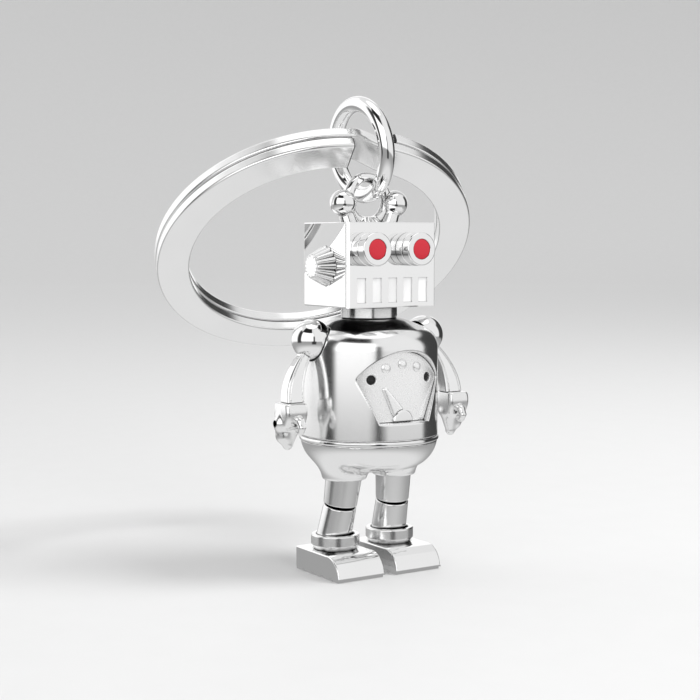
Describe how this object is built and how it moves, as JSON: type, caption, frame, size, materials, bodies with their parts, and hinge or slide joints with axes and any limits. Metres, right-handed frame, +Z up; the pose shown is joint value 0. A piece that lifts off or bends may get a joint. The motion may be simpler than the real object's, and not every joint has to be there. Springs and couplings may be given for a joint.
{
  "type": "robot key ring charm",
  "caption": "Chrome robot charm with a turning head, swinging arms and legs, and a flat split ring hung from the head by a wire link.",
  "frame": {"origin": "on the ground plane under the body axis, midway between the two feet", "axes": "+Z up, the robot faces -Y, its left hand is on +X"},
  "size_m": [0.0319, 0.0321, 0.0446],
  "materials": {
    "chrome_plate": "mirror-polished chrome plate on zinc casting",
    "ring_steel": "bright nickel-plated spring steel, tumbled to a soft shine",
    "pin_steel": "plain drawn steel",
    "red_enamel": "glossy red enamel fill",
    "white_enamel": "glossy white enamel fill"
  },
  "bodies": {
    "torso": {"torso_shell": "chrome_plate", "waist_band": "chrome_plate", "pelvis": "chrome_plate", "gauge_panel": "chrome_plate", "gauge_screws": "pin_steel", "gauge_lamps": "chrome_plate", "gauge_hub": "chrome_plate", "gauge_needle": "chrome_plate", "neck_collar": "chrome_plate", "neck_pin": "pin_steel", "neck_washer": "pin_steel", "hip_pin_left": "pin_steel", "hip_pin_right": "pin_steel"},
    "head": {"head_shell": "chrome_plate", "face_plate": "chrome_plate", "teeth": "white_enamel", "hanging_eye": "chrome_plate", "hanging_eye_nut": "pin_steel", "eye_barrel_left": "chrome_plate", "eye_barrel_right": "chrome_plate", "eye_lens_left": "red_enamel", "eye_lens_right": "red_enamel", "ear_knob_left": "chrome_plate", "ear_knob_right": "chrome_plate", "antenna_left": "chrome_plate", "antenna_right": "chrome_plate"},
    "connector": {"connector_ring": "chrome_plate"},
    "key_ring": {"split_ring": "ring_steel"},
    "left_arm": {"shoulder_ball_left": "chrome_plate", "shoulder_pin_left": "pin_steel", "shoulder_clip_left": "pin_steel", "arm_left": "chrome_plate", "hand_left": "chrome_plate"},
    "left_leg": {"thigh_left": "chrome_plate", "shin_left": "chrome_plate", "ankle_cuff_left": "chrome_plate", "foot_left": "chrome_plate"},
    "right_arm": {"shoulder_ball_right": "chrome_plate", "shoulder_pin_right": "pin_steel", "shoulder_clip_right": "pin_steel", "arm_right": "chrome_plate", "hand_right": "chrome_plate"},
    "right_leg": {"thigh_right": "chrome_plate", "shin_right": "chrome_plate", "ankle_cuff_right": "chrome_plate", "foot_right": "chrome_plate"}
  },
  "joints": [
    {"name": "head_turn", "type": "hinge", "parent": "torso", "child": "head", "pos_m": [0, 0, 0.02504], "axis": [0, 0, 1], "continuous": true},
    {"name": "connector_swing", "type": "hinge", "parent": "head", "child": "connector", "pos_m": [0, 0.00035, 0.037], "axis": [1, 0, 0], "range_deg": [-15, 25]},
    {"name": "key_ring_swing", "type": "hinge", "parent": "connector", "child": "key_ring", "pos_m": [0, 0.0014, 0.03962], "axis": [1, 0, 0], "range_deg": [-10, 120]},
    {"name": "left_shoulder", "type": "hinge", "parent": "torso", "child": "left_arm", "pos_m": [0.00628, 0, 0.0221], "axis": [-1, 0, 0], "continuous": true},
    {"name": "right_shoulder", "type": "hinge", "parent": "torso", "child": "right_arm", "pos_m": [-0.00628, 0, 0.0221], "axis": [-1, 0, 0], "continuous": true},
    {"name": "left_hip", "type": "hinge", "parent": "torso", "child": "left_leg", "pos_m": [0.00278, -0.00005, 0.00955], "axis": [-1, 0, 0], "range_deg": [-8, 8]},
    {"name": "right_hip", "type": "hinge", "parent": "torso", "child": "right_leg", "pos_m": [-0.00278, -0.00005, 0.00955], "axis": [-1, 0, 0], "range_deg": [-8, 8]}
  ]
}
